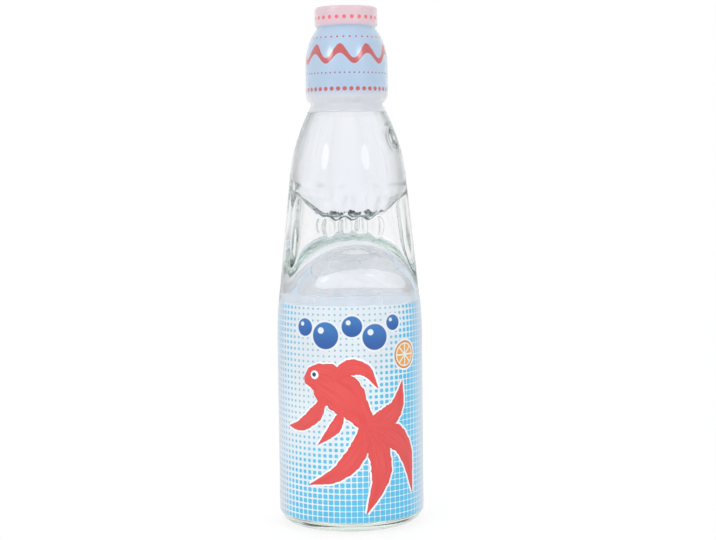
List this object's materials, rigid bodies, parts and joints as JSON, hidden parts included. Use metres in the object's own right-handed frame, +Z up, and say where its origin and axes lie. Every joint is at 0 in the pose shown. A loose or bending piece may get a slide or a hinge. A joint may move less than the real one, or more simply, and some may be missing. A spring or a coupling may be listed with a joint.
{
  "type": "marble stopper bottle",
  "caption": "Pinched glass soda bottle sealed by a marble under a rubber gasket; a plunger in the capped mouth pushes the marble down into its chamber.",
  "frame": {"origin": "centre of the foot, on the surface that the bottle stands on", "axes": "+Z up along the bottle's axis, the pinches face -Y and +Y, the two dimples face +X"},
  "size_m": [0.0582, 0.0582, 0.205],
  "materials": {
    "clear_glass": "clear with a faint green tint",
    "marble_glass": "clear, faintly blue-green",
    "gasket_rubber": "matte",
    "cap_plastic": "smooth moulded",
    "plunger_plastic": "smooth moulded",
    "seal_film": "printed shrink film, pink above pale blue",
    "label_film": "printed shrink film, pale blue halftone"
  },
  "bodies": {
    "bottle": {"glass_bottle": "clear_glass", "mouth_gasket": "gasket_rubber", "mouth_cap": "cap_plastic", "plunger_ring": "cap_plastic", "cap_seal": "seal_film", "label_sleeve": "label_film"},
    "marble": {"marble": "marble_glass"},
    "plunger": {"plunger": "plunger_plastic"}
  },
  "joints": [
    {"name": "marble_drop", "type": "slide", "parent": "bottle", "child": "marble", "axis": [0, 0, -1], "range_m": [0, 0.0491]},
    {"name": "plunger_push", "type": "slide", "parent": "bottle", "child": "plunger", "axis": [0, 0, -1], "range_m": [0, 0.004]}
  ],
  "couplings": [
    {"joint": "plunger_push", "follows": "marble_drop", "ratio": 0.0814}
  ]
}
